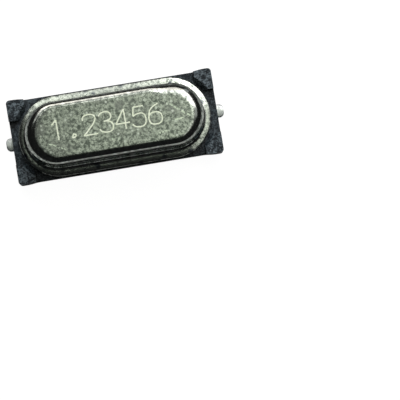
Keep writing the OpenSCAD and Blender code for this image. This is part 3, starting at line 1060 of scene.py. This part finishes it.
def makeMarking(look):
    curve = bpy.data.curves.new("marking", "CURVE")
    curve.dimensions = "3D"
    curve.bevel_depth = look["stroke"] / 2
    curve.bevel_resolution = look["strokeSteps"]
    curve.use_fill_caps = True
    across = len(look["text"]) - 1
    for place, digit in enumerate(look["text"]):
        left = look["centre"][0] + (place - across / 2) * look["pitch"] - look["width"] / 2
        low = look["centre"][1] - look["height"] / 2
        for stroke in digitStrokes[digit]:
            line = curve.splines.new("NURBS")
            line.points.add(len(stroke) - 1)
            line.order_u = look["bendOrder"]
            line.resolution_u = look["bendSteps"]
            line.use_endpoint_u = True
            for point, (x, y) in zip(line.points, stroke):
                point.co = (left + x * look["width"], low + y * look["height"], 0, 1)
    drawn = bpy.data.objects.new("marking", curve)
    scene.collection.objects.link(drawn)
    done = drawn.evaluated_get(bpy.context.evaluated_depsgraph_get())
    bm = bmesh.new()
    bm.from_mesh(done.to_mesh())
    bpy.data.objects.remove(drawn)
    # Pressed flat on the can's top
    bmesh.ops.scale(bm, vec=(1, 1, 2 * look["proud"] / look["stroke"]), verts=bm.verts)
    bmesh.ops.translate(bm, vec=(0, 0, canTop), verts=bm.verts)
    closeUp(bm)
    finishPiece(bm, "marking", engraving, None)


makeMarking(marking)


# The camera sees a pale floor with a soft shadow; the metal mirrors a darker floor with painted light: a
# painted pool of light near the part and painted shade behind it
floor = {
    "size": 3000.0,
    "drop": 0.002,  # keeps the floor clear of the object's underside
    "seen": 0.97,
    "shade": 0.12,
    "near": 0.46,
    "behind": 0.2,
    "turn": (0.2, 0.6),  # painted shade: near turns to the darker behind as the direction points this far to +Y
    "far": 0.02,
    "bright": (14, 34),  # a painted pool of light: the mirrored floor darkens between these distances
}


def makeFloor(look):
    bm = bmesh.new()
    bmesh.ops.create_grid(bm, x_segments=1, y_segments=1, size=look["size"] / 2 * mm)
    bmesh.ops.translate(bm, vec=(0, 0, -look["drop"] * mm), verts=bm.verts)
    piece = looseObject(bm, "floor")
    material = bpy.data.materials.new("floor")
    material.use_nodes = True
    tree = material.node_tree
    tree.nodes.remove(tree.nodes["Principled BSDF"])
    glow = addNode(tree, "ShaderNodeEmission", {"Strength": look["seen"]})
    matte = addNode(tree, "ShaderNodeBsdfDiffuse", {"Color": (look["shade"],) * 3 + (1,)})
    seen = addNode(tree, "ShaderNodeAddShader", {0: glow.outputs[0], 1: matte.outputs[0]})
    spot = addNode(tree, "ShaderNodeTexCoord").outputs["Object"]
    side = addNode(tree, "ShaderNodeSeparateXYZ", {0: vectorCalc(tree, "NORMALIZE", spot)}).outputs["Y"]
    distance = vectorCalc(tree, "LENGTH", spot)
    # Painted light for the mirrored floor: a pool of light that fades with distance, and painted shade
    # behind the part
    paintedPool = fadeBetween(tree, distance, look["bright"][0] * mm, look["bright"][1] * mm, 1.0, 0.0)
    paintedSideShade = fadeBetween(tree, side, *look["turn"], look["near"], look["behind"])
    tone = calc(tree, "MAXIMUM", calc(tree, "MULTIPLY", paintedPool, paintedSideShade), look["far"])
    grey = addNode(tree, "ShaderNodeCombineColor", {0: tone, 1: tone, 2: tone})
    mirrored = addNode(tree, "ShaderNodeBsdfDiffuse", {"Color": grey.outputs[0]})
    ray = addNode(tree, "ShaderNodeLightPath").outputs["Is Camera Ray"]
    mixed = addNode(tree, "ShaderNodeMixShader", {0: ray, 1: mirrored.outputs[0], 2: seen.outputs[0]})
    tree.links.new(mixed.outputs[0], tree.nodes["Material Output"].inputs["Surface"])
    piece.data.materials.append(material)


makeFloor(floor)
print("floor laid")


# Each softbox faces the part: place, width and height in mm, radiance, colour, seen in reflections
softboxes = {
    "ceiling": ((41, 27, 300), 120, 90, 0.32, (0.975, 1.0, 0.79), True),
    "halo": ((-10, 16, 300), 140, 76, 0.18, (0.975, 1.0, 0.85), True),
    "right": ((94, -8, 290), 90, 140, 0.65, (1.0, 0.97, 0.86), True),
    "rightLow": ((190, 20, 220), 110, 120, 0.35, (1.0, 0.98, 0.92), True),
    "upper": ((0, 112, 290), 170, 76, 1.2, (1.0, 0.96, 0.88), True),
    "leftFar": ((-130, 175, 220), 130, 130, 0.5, (1.0, 0.98, 0.92), True),
    "corner": ((122, 132, 250), 205, 180, 2.2, (1.0, 0.91, 0.89), True),
    "cornerGlow": ((100, 112, 262), 190, 170, 0.28, (1.0, 0.95, 0.9), True),
    "window": ((0, 260, 190), 400, 160, 1.6, (1.0, 0.91, 0.84), True),
    "horizon": ((250, 300, 20), 520, 60, 0.5, (1.0, 1.0, 1.0), True),
    "fill": ((50, 230, 230), 140, 140, 10.5, (1.0, 1.0, 1.0), False),
}
ambient = 0.01  # the sky's own light


def addSoftbox(name, look):
    place, width, height, radiance, colour, mirrored = look
    data = bpy.data.lights.new(name, "AREA")
    data.shape = "RECTANGLE"
    data.size = width * mm
    data.size_y = height * mm
    data.energy = radiance * math.pi * width * height * mm * mm
    data.color = colour
    lamp = bpy.data.objects.new(name, data)
    scene.collection.objects.link(lamp)
    along, across, up = Vector(place).normalized()
    lamp.location = Vector(place) * mm
    lamp.rotation_euler = (-math.asin(across), math.atan2(along, up), 0)
    lamp.visible_camera = False
    lamp.visible_glossy = mirrored


def makeSky():
    world = bpy.data.worlds.new("studio")
    scene.world = world
    world.use_nodes = True
    tree = world.node_tree
    ray = addNode(tree, "ShaderNodeLightPath").outputs["Is Camera Ray"]
    dim = tree.nodes["Background"]
    dim.inputs["Color"].default_value = (ambient,) * 3 + (1,)
    white = addNode(tree, "ShaderNodeBackground", {"Color": (1, 1, 1, 1)})
    mixed = addNode(tree, "ShaderNodeMixShader", {0: ray, 1: dim.outputs[0], 2: white.outputs[0]})
    tree.links.new(mixed.outputs[0], tree.nodes["World Output"].inputs["Surface"])


for lampName, lampLook in softboxes.items():
    addSoftbox(lampName, lampLook)
makeSky()
scene.view_settings.view_transform = "Standard"
print("stage lit")
